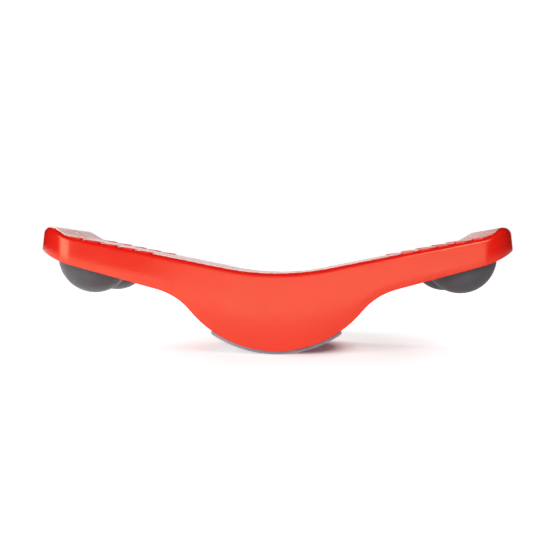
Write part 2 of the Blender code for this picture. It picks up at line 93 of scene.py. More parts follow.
# Walls, ribs and bosses
WALL = 0.004
SIDE_LEAN = 0.0015
END_LEAN = 0.0025
RIM_FILLET = 0.0080
SKIRT_ROUND = 0.0013
RIB = 0.003
RIB_RECESS = 0.0068
RIB_PITCH_X = 0.052
RIB_PITCH_Y = 0.079
BELLY_BAYS = 2
ARM_BAYS = 2
RIB_TO_BUMPER = 0.005
SCREW_BORE = 0.0023
BOSS_RADIUS = 0.0055
BORE_DEPTH = 0.012

# Grip pads
PAD_ROWS = 5
PAD_GAP = 0.005
PAD_LENGTH = 0.0225
PAD_WIDTH = 0.034
PAD_HEIGHT = 0.0016
PAD_TAIL = 0.0004
PAD_CORNER = 0.003
PAD_ROUND = 0.0004
PAD_INTO_CORNER = 0.0037
PAD_RIM_INSET = 0.0035

# Rubber bumpers
BUMPER_RADIUS = 0.0586
BUMPER_WALL = 0.022
BUMPER_COLLAR = 0.0065
BUMPER_LIP = 0.004
BUMPER_LIP_WIDTH = 0.0046
BUMPER_END_ROOM = 0.0286
BUMPER_SIDE_ROOM = 0.0019
BUMPER_BREAK = 0.0010
MOUNT_DEPTH = 0.0177
RING_STEP = 0.0046
MOUNT_RIB_STEP = 0.0035
SCREW_INSET = 0.0085
LIP_SLACK = 0.0005

# Rocker plate and sole
PLATE_OUTER = 0.174
POST_ROOM = 0.009
POST_RISE = 0.009
SOLE_ANGLE = math.radians(35)
SOLE_SIDE_INSET = 0.012
SOLE_BREAK = 0.0010
SOLE_NOSE = 0.003

# Clearance between pieces that touch
GAP = 0.0003

# How finely round shapes are divided
ARC_STEP = math.radians(1.2)
STATION_STEP = 0.003
STRAIGHT_STRIDE = 4
SLOPE_ROUNDS = 8
FILLET_STEPS = 10
CORNER_STEPS = 22
CROWN_STEPS = 26
TURN_SIDES = 96
RING_SIDES = 64
BOSS_SIDES = 24
ROUND_STEPS = 3
PAD_CORNER_STEPS = 5
MERGE = 0.00001
SHARP = math.radians(35)
CREASE = math.radians(60)

# Sizes that follow from the ones above
BELLY_CENTRE = BELLY_RADIUS + SOLE_DROP
PLATE_INNER = BELLY_RADIUS - RIB_RECESS + GAP
SOLE_WIDTH = WIDTH - 2 * SOLE_SIDE_INSET
MOUNT_CENTRE = LENGTH / 2 - BUMPER_END_ROOM - BUMPER_RADIUS
MOUNT_SIDE = WIDTH / 2 - WALL - SIDE_LEAN - BUMPER_SIDE_ROOM - BUMPER_RADIUS
BUMPER_TOP = -MOUNT_DEPTH - GAP
BUMPER_INNER = BUMPER_RADIUS - BUMPER_WALL
SCREW_CIRCLE = BUMPER_INNER - BUMPER_LIP_WIDTH - LIP_SLACK - SCREW_INSET
POST_ROOM_DEPTH = 4 * POST_RISE


# Objects

def new_collection(name):
    collection = bpy.data.collections.new(name)
    bpy.context.scene.collection.children.link(collection)
    return collection


def add(name, bm, collection, matrix=None):
    """A new object that holds this mesh."""
    mesh = bpy.data.meshes.new(name)
    bm.to_mesh(mesh)
    bm.free()
    obj = bpy.data.objects.new(name, mesh)
    collection.objects.link(obj)
    if matrix is not None:
        obj.matrix_world = matrix
    return obj


def add_box(name, low, high, collection, matrix=None):
    bm = bmesh.new()
    size = [b - a for a, b in zip(low, high)]
    middle = [(a + b) / 2 for a, b in zip(low, high)]
    bmesh.ops.create_cube(bm, size=1, matrix=Matrix.Translation(middle) @ Matrix.Diagonal((*size, 1)))
    return add(name, bm, collection, matrix)


def add_cylinder(name, radius, low, high, collection, matrix=None):
    bm = bmesh.new()
    bmesh.ops.create_cone(
        bm, cap_ends=True, segments=BOSS_SIDES, radius1=radius, radius2=radius, depth=high - low,
        matrix=Matrix.Translation((0, 0, (low + high) / 2)),
    )
    return add(name, bm, collection, matrix)


def add_turned(name, profile, collection, matrix=None, sides=TURN_SIDES, closed=False):
    """A profile of (radius, height) points turned round Z. Its outer side runs downwards."""
    bm = bmesh.new()
    verts = [bm.verts.new((r, 0, z)) for r, z in profile]
    for a, b in zip(verts, verts[1:] + (verts[:1] if closed else [])):
        bm.edges.new((a, b))
    obj = add(name, bm, collection, matrix)
    screw = obj.modifiers.new("Turn", "SCREW")
    screw.axis = "Z"
    screw.steps = screw.render_steps = sides
    screw.use_merge_vertices = True
    screw.merge_threshold = MERGE
    return obj


def add_extruded(name, outline, width, collection):
    """A closed outline of (x, z) points, anticlockwise, that runs across the board, width wide."""
    bm = bmesh.new()
    front = [bm.verts.new((x, -width / 2, z)) for x, z in outline]
    back = [bm.verts.new((x, width / 2, z)) for x, z in outline]
    bm.faces.new(front)
    bm.faces.new(back[::-1])
    count = len(outline)
    for i in range(count):
        j = (i + 1) % count
        bm.faces.new((front[j], front[i], back[i], back[j]))
    bmesh.ops.recalc_face_normals(bm, faces=bm.faces)
    return add(name, bm, collection)


def combine(obj, operation, other):
    modifier = obj.modifiers.new(operation.title(), "BOOLEAN")
    modifier.operation = operation
    modifier.solver = "MANIFOLD"
    if isinstance(other, bpy.types.Collection):
        modifier.operand_type = "COLLECTION"
        modifier.collection = other
    else:
        modifier.object = other


def round_edges(obj, width):
    bevel = obj.modifiers.new("Round", "BEVEL")
    bevel.width = width
    bevel.segments = ROUND_STEPS
    bevel.limit_method = "ANGLE"
    bevel.angle_limit = CREASE


def settle(obj, *helpers):
    """Applies the modifiers, shades the piece smooth with its sharp edges kept, and drops its helpers."""
    graph = bpy.context.evaluated_depsgraph_get()
    mesh = bpy.data.meshes.new_from_object(obj.evaluated_get(graph))
    obj.modifiers.clear()
    obj.data = mesh
    mesh.name = obj.name
    mesh.shade_smooth()
    mesh.set_sharp_from_angle(angle=SHARP)
    for collection in helpers:
        for helper in list(collection.objects):
            bpy.data.objects.remove(helper)
        bpy.data.collections.remove(collection)


def put_on(obj, material, slot, *nodes):
    """Gives the piece its finish, makes it ride on the board and stands it in for these CAD nodes."""
    obj.data.materials.clear()
    obj.data.materials.append(material)
    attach(obj, "root")
    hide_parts(*nodes)


# Side profiles

def walk(x, z, moves):
    """Points (x, z, heading) along arcs (radius, heading) and straights (length,), from a level start."""
    heading = 0.0
    points = [(x, z, heading)]
    for move in moves:
        if len(move) == 1:
            x += move[0] * math.cos(heading)
            z += move[0] * math.sin(heading)
            points.append((x, z, heading))
            continue
        radius, end = move
        turn = math.copysign(radius, end - heading)
        centre_x = x - turn * math.sin(heading)
        centre_z = z + turn * math.cos(heading)
        steps = max(1, math.ceil(abs(end - heading) / ARC_STEP))
        for angle in np.linspace(heading, end, steps + 1)[1:]:
            x = centre_x + turn * math.sin(angle)
            z = centre_z - turn * math.cos(angle)
            points.append((x, z, float(angle)))
        heading = end
    return points


def deck_profile():
    """Half of the deck's top, from the middle of the valley to the outer edge of the crest."""
    end = LENGTH / 2 - END_LEAN - END_FILLET
    lip_length = (
        LIP_RADIUS * (math.sin(LIP_RISE) - math.sin(ARM_RISE))
        + LIP_RUN * math.cos(LIP_RISE)
        + CREST_RADIUS * math.sin(LIP_RISE)
        + CREST_FLAT
    )
    arm = (end - lip_length - VALLEY_RADIUS * math.sin(ARM_RISE)) / math.cos(ARM_RISE)
    lip = [(LIP_RADIUS, LIP_RISE), (LIP_RUN,), (CREST_RADIUS, 0.0), (CREST_FLAT,)]
    return walk(0, VALLEY_HEIGHT, [(VALLEY_RADIUS, ARM_RISE), (arm,), *lip])


def skirt_profile():
    """Half of the skirt's lower edge, from under the belly to the end of the board."""
    round_belly = walk(0, SOLE_DROP, [(BELLY_RADIUS, BELLY_ANGLE), (BLEND_RADIUS, UNDER_RISE)])
    arm = (LENGTH / 2 - TIP_SWEEP - round_belly[-1][0]) / math.cos(UNDER_RISE)
    tip_rise = math.asin(math.sin(UNDER_RISE) + TIP_SWEEP / TIP_RADIUS)
    moves = [(BELLY_RADIUS, BELLY_ANGLE), (BLEND_RADIUS, UNDER_RISE), (arm,), (TIP_RADIUS, tip_rise)]
    return walk(0, SOLE_DROP, moves)


DECK = deck_profile()
SKIRT = skirt_profile()


def value_on(profile, x, column):
    """A profile's height (column 1) or heading (column 2) at a distance from the middle."""
    return float(np.interp(abs(x), [p[0] for p in profile], [p[column] for p in profile]))


def height_on(profile, x):
    return value_on(profile, x, 1)


def mirrored(half):
    return [(-x, z) for x, z in reversed(half[1:])] + half


# Deck

def plan_stations():
    """A quarter of the plan as (x, y, normal x, normal y), from the side's middle to the end's."""
    corner_x = LENGTH / 2 - PLAN_CORNER
    corner_y = WIDTH / 2 - PLAN_CORNER
    side = sorted({round(p[0], 6) for p in DECK + SKIRT if p[0] < corner_x - STATION_STEP})
    for low, high in zip(side[:-1], side[1:]):
        extra = math.ceil((high - low) / (STRAIGHT_STRIDE * STATION_STEP))
        side += list(np.linspace(low, high, extra + 1)[1:-1])
    side.sort()
    stations = [(side[0], WIDTH / 2, 0.0, 1.0)]
    for x in side[1:]:
        if x - stations[-1][0] > STATION_STEP:
            stations.append((x, WIDTH / 2, 0.0, 1.0))
    for angle in np.linspace(0, math.pi / 2, CORNER_STEPS + 1):
        nx = math.sin(angle)
        ny = math.cos(angle)
        stations.append((corner_x + PLAN_CORNER * nx, corner_y + PLAN_CORNER * ny, nx, ny))
    stations.append((LENGTH / 2, 0.0, 1.0, 0.0))
    return stations


def station_rings(x, y, nx, ny):
    """The outer surface at one station, from the skirt's lower edge up to the flat of the deck.

    The rim's fillet touches the wall below it and the sloping deck above it.
    """
    lean = SIDE_LEAN + (END_LEAN - SIDE_LEAN) * nx * nx
    fillet = RIM_FILLET + (END_FILLET - RIM_FILLET) * nx * nx
    slope = 0.0
    for _ in range(SLOPE_ROUNDS):
        inset = lean + fillet * (1 + math.sin(slope))
        top_x = x - inset * nx
        slope = math.atan(nx * math.tan(value_on(DECK, top_x, 2)))
    centre = height_on(DECK, top_x) - fillet * math.cos(slope)
    foot = (x, y, height_on(SKIRT, x))
    wall_top = (x - lean * nx, y - lean * ny, centre)
    wall = [tuple(np.array(foot) + share * (np.array(wall_top) - np.array(foot))) for share in (0, 0.5)]
    ring = []
    for angle in np.linspace(0, math.pi / 2 + slope, FILLET_STEPS + 1):
        inset = lean + fillet * (1 - math.cos(angle))
        ring.append((x - inset * nx, y - inset * ny, centre + fillet * math.sin(angle)))
    return wall + ring


def deck_surface(bm):
    """A quarter of the outer surface, open along the skirt's edge and the planes that it is mirrored in."""
    columns = [[bm.verts.new(p) for p in station_rings(*s)] for s in plan_stations()]
    for column in columns[:-2]:
        x, _, z = column[-1].co
        column.append(bm.verts.new((x, 0, z)))
    columns[-2].append(columns[-1][-1])
    for left, right in zip(columns[:-1], columns[1:]):
        for i in range(len(right) - 1):
            bm.faces.new((left[i], left[i + 1], right[i + 1], right[i]))


def deck_envelope(collection):
    """The room that ribs and bosses may fill, from the middle of the deck's wall down to the rib edge."""
    middle = WALL / 2
    crest_x, crest_z, _ = DECK[-1]
    centre_z = crest_z - END_FILLET
    radius = END_FILLET - middle
    end = [
        (crest_x + radius * math.sin(a), centre_z + radius * math.cos(a))
        for a in np.linspace(0, math.pi / 2, FILLET_STEPS + 1)[1:]
    ]
    upper = mirrored([(x, z - middle) for x, z, _ in DECK] + end)
    lean = END_LEAN * RIB_RECESS / (centre_z - SKIRT[-1][1])
    last_x = LENGTH / 2 - middle - lean
    last_z = height_on(SKIRT, last_x) + RIB_RECESS
    raised = [(x - RIB_RECESS * math.sin(a), z + RIB_RECESS * math.cos(a)) for x, z, a in SKIRT]
    lower = mirrored([p for p in raised if p[0] < crest_x] + [(last_x, last_z)])
    return add_extruded("rib_envelope", lower + upper[::-1], WIDTH - WALL - 2 * SIDE_LEAN, collection)


def arm_frame(side, x, y):
    """A frame on the plane of an arm's top: its Z is the deck's normal and its X runs along the slope."""
    start_x, start_z, _ = next(p for p in DECK if p[2] == ARM_RISE)
    z = start_z + (x - start_x) * math.tan(ARM_RISE)
    return Matrix.Translation((side * x, y, z)) @ Matrix.Rotation(-side * ARM_RISE, 4, "Y")


def bumper_places():
    """(name, side, frame) of each bumper's mount."""
    for across, sign_y in (("front", -1), ("rear", 1)):
        for along, side in (("left", -1), ("right", 1)):
            yield f"{across}_{along}", side, arm_frame(side, MOUNT_CENTRE, sign_y * MOUNT_SIDE)


def screw_spots():
    return [
        (SCREW_CIRCLE * math.cos(a), SCREW_CIRCLE * math.sin(a))
        for a in (0, math.pi / 2, math.pi, 3 * math.pi / 2)
    ]


def post_places():
    return [(i * RIB_PITCH_X, j * RIB_PITCH_Y) for i in (-1, 0, 1) for j in (-1, 1)]


def post_top(x):
    return BELLY_CENTRE - math.sqrt(PLATE_INNER ** 2 - x * x) + POST_RISE


def make_ribs(collection):
    tall = DECK[-1][1]
    reach = LENGTH / 2
    across = WIDTH / 2
    half = RIB / 2
    cross = [i * RIB_PITCH_X for i in range(BELLY_BAYS + 1)]
    step = (MOUNT_CENTRE - BUMPER_RADIUS - RIB_TO_BUMPER - cross[-1]) / ARM_BAYS
    cross += [cross[-1] + (i + 1) * step for i in range(ARM_BAYS)]
    for x in [-x for x in cross[:0:-1]] + cross:
        add_box("rib_across", (x - half, -across, 0), (x + half, across, tall), collection)
    for y in (-RIB_PITCH_Y, RIB_PITCH_Y):
        add_box("rib_along", (-cross[-1], y - half, 0), (cross[-1], y + half, tall), collection)
    add_box("rib_spine", (-reach, -half, 0), (reach, half, tall), collection)


def make_mounts(collection):
    """What each bumper seats on: a ring, cross ribs through it and a boss for each screw."""
    tall = DECK[-1][1] - VALLEY_HEIGHT
    ring = BUMPER_RADIUS - RING_STEP
    half = RIB / 2
    rib_low = MOUNT_RIB_STEP - MOUNT_DEPTH
    inward = BUMPER_RADIUS + RIB_TO_BUMPER
    outward = LENGTH / 2 - MOUNT_CENTRE
    to_side = WIDTH / 2 - MOUNT_SIDE
    for name, side, spot in bumper_places():
        profile = [(ring - RIB, tall), (ring, tall), (ring, -MOUNT_DEPTH), (ring - RIB, -MOUNT_DEPTH)]
        add_turned(f"ring_{name}", profile, collection, spot, RING_SIDES, closed=True)
        reach = sorted((-side * inward, side * outward))
        add_box("rib_mount", (reach[0], -half, rib_low), (reach[1], half, tall), collection, spot)
        outer = math.copysign(to_side, spot.translation.y)
        reach = sorted((-spot.translation.y, outer))
        add_box("rib_mount", (-half, reach[0], rib_low), (half, reach[1], tall), collection, spot)
        for x, y in screw_spots():
            place = spot @ Matrix.Translation((x, y, 0))
            add_cylinder("boss_mount", BOSS_RADIUS, -MOUNT_DEPTH, tall, collection, place)
    for x, y in post_places():
        place = Matrix.Translation((x, y, 0))
        add_cylinder("boss_belly", BOSS_RADIUS, post_top(x) + GAP, DECK[-1][1], collection, place)


def make_deck_cutters(collection):
    """The bores in the bosses, and the room round the rocker plate's posts."""
    for _, _, spot in bumper_places():
        for x, y in screw_spots():
            place = spot @ Matrix.Translation((x, y, 0))
            add_cylinder("bore", SCREW_BORE, BUMPER_TOP, BORE_DEPTH - MOUNT_DEPTH, collection, place)
    for x, y in post_places():
        place = Matrix.Translation((x, y, post_top(x) + GAP))
        add_cylinder("post_room", POST_ROOM, -POST_ROOM_DEPTH, 0, collection, place)
        add_cylinder("bore", SCREW_BORE, -GAP, BORE_DEPTH, collection, place)


def make_pads(collection):
    """Grip pads in rows along both rims of each arm, as wedges with their tall ends to the valley."""
    first_x = LENGTH / 2 - PLAN_CORNER + PAD_INTO_CORNER - PAD_LENGTH / 2
    fall = (PAD_HEIGHT - PAD_TAIL) / PAD_LENGTH
    y = WIDTH / 2 - SIDE_LEAN - PAD_RIM_INSET - PAD_WIDTH / 2
    for side in (-1, 1):
        for row in range(PAD_ROWS):
            x = first_x - row * (PAD_LENGTH + PAD_GAP)
            for sign_y in (-1, 1):
                bm = bmesh.new()
                size = (PAD_LENGTH, PAD_WIDTH, 2 * PAD_HEIGHT, 1)
                bmesh.ops.create_cube(bm, size=1, matrix=Matrix.Diagonal(size))
                upright = [e for e in bm.edges if abs(e.verts[0].co.z - e.verts[1].co.z) > PAD_HEIGHT]
                bmesh.ops.bevel(
                    bm, geom=upright, offset=PAD_CORNER, segments=PAD_CORNER_STEPS, affect="EDGES"
                )
                for vert in bm.verts:
                    if vert.co.z > 0:
                        vert.co.z -= fall * (side * vert.co.x + PAD_LENGTH / 2)
                rim = [e for e in bm.edges if min(v.co.z for v in e.verts) > 0]
                bmesh.ops.bevel(bm, geom=rim, offset=PAD_ROUND, segments=ROUND_STEPS, affect="EDGES")
                add("pad", bm, collection, arm_frame(side, x, sign_y * y))


def make_deck(material):
    helpers = {name: new_collection(name) for name in ("ribs", "pads", "cutters", "trim")}
    bm = bmesh.new()
    deck_surface(bm)
    deck = add("deck", bm, bpy.context.scene.collection)
    mirror = deck.modifiers.new("Mirror", "MIRROR")
    mirror.use_axis = (True, True, False)
    mirror.use_clip = True
    mirror.merge_threshold = MERGE
    solidify = deck.modifiers.new("Wall", "SOLIDIFY")
    solidify.thickness = WALL
    solidify.offset = -1
    solidify.use_even_offset = True
    round_edges(deck, SKIRT_ROUND)
    make_ribs(helpers["ribs"])
    make_mounts(helpers["ribs"])
    low = (-RIB, -RIB, VALLEY_HEIGHT / 2)
    stock = add_box("rib_stock", low, (RIB, RIB, VALLEY_HEIGHT), helpers["trim"])
    combine(stock, "UNION", helpers["ribs"])
    combine(stock, "INTERSECT", deck_envelope(helpers["trim"]))
    combine(deck, "UNION", stock)
    make_deck_cutters(helpers["cutters"])
    combine(deck, "DIFFERENCE", helpers["cutters"])
    make_pads(helpers["pads"])
    combine(deck, "UNION", helpers["pads"])
    settle(deck, *helpers.values())
    put_on(deck, material, "deck", "deck_shell")


# Rubber

def bumper_profile():
    """The half ball's wall, from the inside of its crown, over its lip and down its outer side."""
    centre = BUMPER_TOP - BUMPER_COLLAR
    under_lip = BUMPER_TOP - BUMPER_LIP
    lip = BUMPER_INNER - BUMPER_LIP_WIDTH
    inside = [
        (BUMPER_INNER * math.sin(a), centre - BUMPER_INNER * math.cos(a))
        for a in np.linspace(0, math.pi / 2, CROWN_STEPS // 2)
    ]
    mouth = [(BUMPER_INNER, under_lip), (lip, under_lip), (lip, BUMPER_TOP)]
    rim = [
        (BUMPER_RADIUS - BUMPER_BREAK * (1 - math.sin(a)), BUMPER_TOP - BUMPER_BREAK * (1 - math.cos(a)))
        for a in np.linspace(0, math.pi / 2, ROUND_STEPS + 1)
    ]
    outside = [
        (BUMPER_RADIUS * math.sin(a), centre - BUMPER_RADIUS * math.cos(a))
        for a in np.linspace(math.pi / 2, 0, CROWN_STEPS + 1)
    ]
    return inside + mouth + rim + outside


def make_bumpers(material):
    for name, _, spot in bumper_places():
        bumper = add_turned(f"half_ball_{name}", bumper_profile(), bpy.context.scene.collection, spot)
        settle(bumper)
        put_on(bumper, material, "bumper", f"bumper_{name}")


def on_circle(radius, angle):
    """A point (x, z) round the belly's centre. The angle runs from straight down towards +X."""
    return radius * math.sin(angle), BELLY_CENTRE - radius * math.cos(angle)


def arc(radius, first, last):
    count = max(1, round(abs(last - first) / ARC_STEP))
    return [on_circle(radius, angle) for angle in np.linspace(first, last, count + 1)]


def make_sole(material):
    """The rubber strip that the board rolls on, round where the CAD one has narrow flats."""
    nose = SOLE_NOSE / BELLY_CENTRE
    bottom = arc(BELLY_CENTRE, -SOLE_ANGLE + nose, SOLE_ANGLE - nose)
    right = [
        on_circle(BELLY_CENTRE - SOLE_NOSE / 2, SOLE_ANGLE - nose / 6),
        on_circle(BELLY_CENTRE - SOLE_NOSE, SOLE_ANGLE),
    ]
    top = arc(PLATE_OUTER + GAP, SOLE_ANGLE - nose / 2, -SOLE_ANGLE + nose / 2)
    left = [(-x, z) for x, z in reversed(right)]
    outline = left + bottom + right + top
    sole = add_extruded("sole", outline, SOLE_WIDTH, bpy.context.scene.collection)
    round_edges(sole, SOLE_BREAK)
    settle(sole)
    put_on(sole, material, "sole", "rocker_sole")


# Materials

RED = (0.80, 0.012, 0.007)
RED_DEEP = (0.76, 0.010, 0.006)
RED_SHEEN = (1.0, 0.99, 0.58, 1)
GLOSS_ROUGHNESS = (0.19, 0.24)
MATT_ROUGHNESS = (0.22, 0.30)
# How far up a face looks where the matt grain begins and where it is whole
MATT_SLOPE = (0.55, 0.85)
EDGE_BREAK = 0.0005
PLASTIC_IOR = 1.5
BUMPER_GREY = (0.112, 0.106, 0.114)
BUMPER_GREY_DARK = (0.098, 0.092, 0.100)
BUMPER_ROUGHNESS = (0.52, 0.62)
SOLE_GREY = (0.47, 0.46, 0.53)
SOLE_GREY_DARK = (0.42, 0.41, 0.47)
SOLE_ROUGHNESS = (0.55, 0.68)
RUBBER_IOR = 1.28
BLACK = (0.022, 0.022, 0.024)
BLACK_PALE = (0.034, 0.034, 0.036)
BLACK_ROUGHNESS = (0.42, 0.55)
ZINC = (0.56, 0.56, 0.58)
ZINC_PALE = (0.68, 0.68, 0.69)
ZINC_ROUGHNESS = (0.25, 0.42)
# The part of a noise's range that its values mostly fill
NOISE_SPAN = (0.3, 0.7)
RANGE_LIMITS = ("From Min", "From Max", "To Min", "To Max")


def add_range(tree, value, start, end, low, high, interpolation="LINEAR"):
    """Maps a value, from start to end, on to the range low to high."""
    node = tree.nodes.new("ShaderNodeMapRange")
    node.interpolation_type = interpolation
    tree.links.new(value, node.inputs["Value"])
    for name, limit in zip(RANGE_LIMITS, (start, end, low, high)):
        node.inputs[name].default_value = limit
    return node.outputs["Result"]


class Nodes:
    """A material's node tree, with short ways to add and join its nodes."""

    def __init__(self, name):
        self.material = bpy.data.materials.new(name)
        self.material.use_nodes = True
        self.tree = self.material.node_tree
        self.shader = self.tree.nodes["Principled BSDF"]
        self.place = self.add("ShaderNodeTexCoord").outputs["Object"]

    def add(self, kind, **inputs):
        node = self.tree.nodes.new(kind)
        for name, value in inputs.items():
            self.put(node.inputs[name.replace("_", " ")], value)
        return node

    def put(self, socket, value):
        if isinstance(value, bpy.types.NodeSocket):
            self.tree.links.new(value, socket)
        else:
            socket.default_value = value

    def noise(self, scale, detail=2.0, roughness=0.5):
        inputs = {"Vector": self.place, "Scale": scale, "Detail": detail, "Roughness": roughness}
        return self.add("ShaderNodeTexNoise", **inputs).outputs["Fac"]

    def spread(self, noise, low, high):
        return add_range(self.tree, noise, *NOISE_SPAN, low, high)

    def blend(self, factor, first, second):
        node = self.tree.nodes.new("ShaderNodeMix")
        node.data_type = "RGBA"
        self.put(node.inputs[0], factor)
        node.inputs[6].default_value = (*first, 1)
        node.inputs[7].default_value = (*second, 1)
        return node.outputs[2]

    def bump(self, height, distance, strength=1.0, normal=None):
        node = self.add("ShaderNodeBump", Height=height, Distance=distance, Strength=strength)
        if normal is not None:
            self.put(node.inputs["Normal"], normal)
        return node.outputs["Normal"]

    def finish(self, **inputs):
        for name, value in inputs.items():
            self.put(self.shader.inputs[name.replace("_", " ")], value)
        return self.material


def red_plastic():
    """Moulded plastic: glossy walls, and a rougher grain on the faces that look up, where feet stand."""
    nodes = Nodes("red_plastic")
    colour = nodes.blend(nodes.spread(nodes.noise(scale=9, detail=3), 0, 1), RED_DEEP, RED)
    normal = nodes.add("ShaderNodeNewGeometry").outputs["Normal"]
    facing = nodes.add("ShaderNodeSeparateXYZ", Vector=normal).outputs["Z"]
    upward = add_range(nodes.tree, facing, *MATT_SLOPE, 0, 1)
    gloss = nodes.spread(nodes.noise(scale=40, detail=4), *GLOSS_ROUGHNESS)
    matt = nodes.spread(nodes.noise(scale=40, detail=4), *MATT_ROUGHNESS)
    rough = nodes.add("ShaderNodeMix", Factor=upward, A=gloss, B=matt).outputs["Result"]
    rounded = nodes.add("ShaderNodeBevel", Radius=EDGE_BREAK).outputs["Normal"]
    wave = nodes.bump(nodes.noise(scale=14, detail=1), distance=0.0006, strength=0.15, normal=rounded)
    grain = nodes.bump(nodes.noise(scale=1400, detail=2), distance=0.00003, strength=0.35, normal=wave)
    grip = nodes.bump(nodes.noise(scale=520, detail=3), distance=0.00005, strength=upward, normal=grain)
    return nodes.finish(
        Base_Color=colour, Roughness=rough, Normal=grip, IOR=PLASTIC_IOR, Specular_Tint=RED_SHEEN
    )


def grey_rubber(name, light, dark, roughness):
    """Smooth moulded rubber with a faint mottling and a fine matte grain."""
    nodes = Nodes(name)
    mottling = nodes.noise(scale=30, detail=4, roughness=0.6)
    colour = nodes.blend(nodes.spread(mottling, 0, 1), dark, light)
    rough = nodes.spread(nodes.noise(scale=90, detail=3), *roughness)
    soft = nodes.bump(nodes.noise(scale=60, detail=2), distance=0.0004, strength=0.10)
    grain = nodes.bump(nodes.noise(scale=2200, detail=2), distance=0.00004, strength=0.5, normal=soft)
    return nodes.finish(Base_Color=colour, Roughness=rough, Normal=grain, IOR=RUBBER_IOR)


def black_plastic():
    nodes = Nodes("black_plastic")
    colour = nodes.blend(nodes.noise(scale=50, detail=3), BLACK, BLACK_PALE)
    rough = nodes.spread(nodes.noise(scale=120, detail=3), *BLACK_ROUGHNESS)
    grain = nodes.bump(nodes.noise(scale=1600, detail=2), distance=0.00004, strength=0.4)
    return nodes.finish(Base_Color=colour, Roughness=rough, Normal=grain, IOR=PLASTIC_IOR)


def zinc_steel():
    nodes = Nodes("zinc_steel")
    colour = nodes.blend(nodes.noise(scale=400, detail=3), ZINC, ZINC_PALE)
    rough = nodes.spread(nodes.noise(scale=900, detail=2), *ZINC_ROUGHNESS)
    grain = nodes.bump(nodes.noise(scale=3000, detail=2), distance=0.00002, strength=0.4)
    return nodes.finish(Base_Color=colour, Roughness=rough, Normal=grain, Metallic=1.0)


def dress_cad_nodes(finishes):
    """Gives each carried-over CAD node the finish of its kind, by the start of its name."""
    for name, obj in frame["nodes"].items():
        for start, (material, slot) in finishes.items():
            if name.startswith(start):
                obj.data.materials.clear()
                obj.data.materials.append(material)


# Room

FLOOR_SIZE = 60.0
FLOOR_WHITE = (0.92, 0.92, 0.92, 1)
# Distances from the middle of the painted shadow, and the floor's own glow there, in rising order
# The glow is dim and reddish beside the sole: a painted contact shadow, tinted by painted red light from the
# board
PAINTED_SHADOW_STEPS = (
    (0.042, (0.10, 0.02, 0.02, 1)),
    (0.066, (0.48, 0.36, 0.36, 1)),
    (0.090, (0.58, 0.56, 0.56, 1)),
    (0.160, (0.56, 0.56, 0.56, 1)),
    (0.450, (1.00, 1.00, 1.00, 1)),
)
# How the painted shadow is stretched across the board and shifted along it
PAINTED_SHADOW_STRETCH = (1, 0.4, 1)
PAINTED_SHADOW_SHIFT = (-0.05, 0, 0)
# How bright glossy faces see the floor, this far to the left and to the right: a painted reflection,
# brighter on the left
PAINTED_REFLECTION_REACH = 0.45
PAINTED_REFLECTION_GLOW = (2.4, 0.6)

# The even light on all faces, and the backdrop that glossy faces see behind the board
WORLD_LIGHT = 0.10
BACKDROP_GLOW = 1.3
BACKDROP_TOP = (0.10, 0.34)
BACKDROP_SIDES = (0.80, 0.93)
WHITE = (1, 1, 1, 1)

# Name, place, aim, size and watts of each softbox
SOFTBOXES = (
    ("key", (-2.15, -3.15, 1.15), (-0.2, -0.15, 0.15), (1.90, 2.1), 78),
    ("front", (0.75, -2.6, 1.35), (0.2, -0.15, 0.15), (1.1, 1.1), 28),
    ("patch", (0.25, -2.1, 0.24), (0.25, -0.15, 0.15), (1.28, 0.46), 4.8),
    ("rear", (-0.6, 2.2, 1.6), (0, 0.1, 0.12), (1.6, 1.0), 26),
)

CAMERA_PLACE = (0.0441, -1.8074, 0.1450)
CAMERA_LENS = 68.75
CAMERA_SENSOR = 36
CAMERA_SHIFT = -0.025
CAMERA_TURN = (math.radians(89.316), math.radians(-0.150), math.radians(0.853))


def add_node(tree, kind, *values, operation=None):
    """A new node with its first inputs set to these values, or linked to them where they are sockets."""
    node = tree.nodes.new(kind)
    if operation:
        node.operation = operation
    for i, value in enumerate(values):
        if isinstance(value, bpy.types.NodeSocket):
            tree.links.new(value, node.inputs[i])
        else:
            node.inputs[i].default_value = value
    return node


def painted_shadow_glow(tree, place):
    """The floor's own glow, with a painted shadow that is dim and reddish beside the sole."""
    stretched = add_node(
        tree, "ShaderNodeVectorMath", place, PAINTED_SHADOW_STRETCH, PAINTED_SHADOW_SHIFT, operation="MULTIPLY_ADD"
    )
    away = add_node(tree, "ShaderNodeVectorMath", stretched.outputs["Vector"], operation="LENGTH")
    ramp = add_node(tree, "ShaderNodeValToRGB", away.outputs["Value"])
    ramp.color_ramp.elements[1].position = 1.0
    for i, (distance, colour) in enumerate(PAINTED_SHADOW_STEPS):
        if i > 1:
            ramp.color_ramp.elements.new(distance)
        ramp.color_ramp.elements[i].position = distance
        ramp.color_ramp.elements[i].color = colour
    return ramp.outputs["Color"]


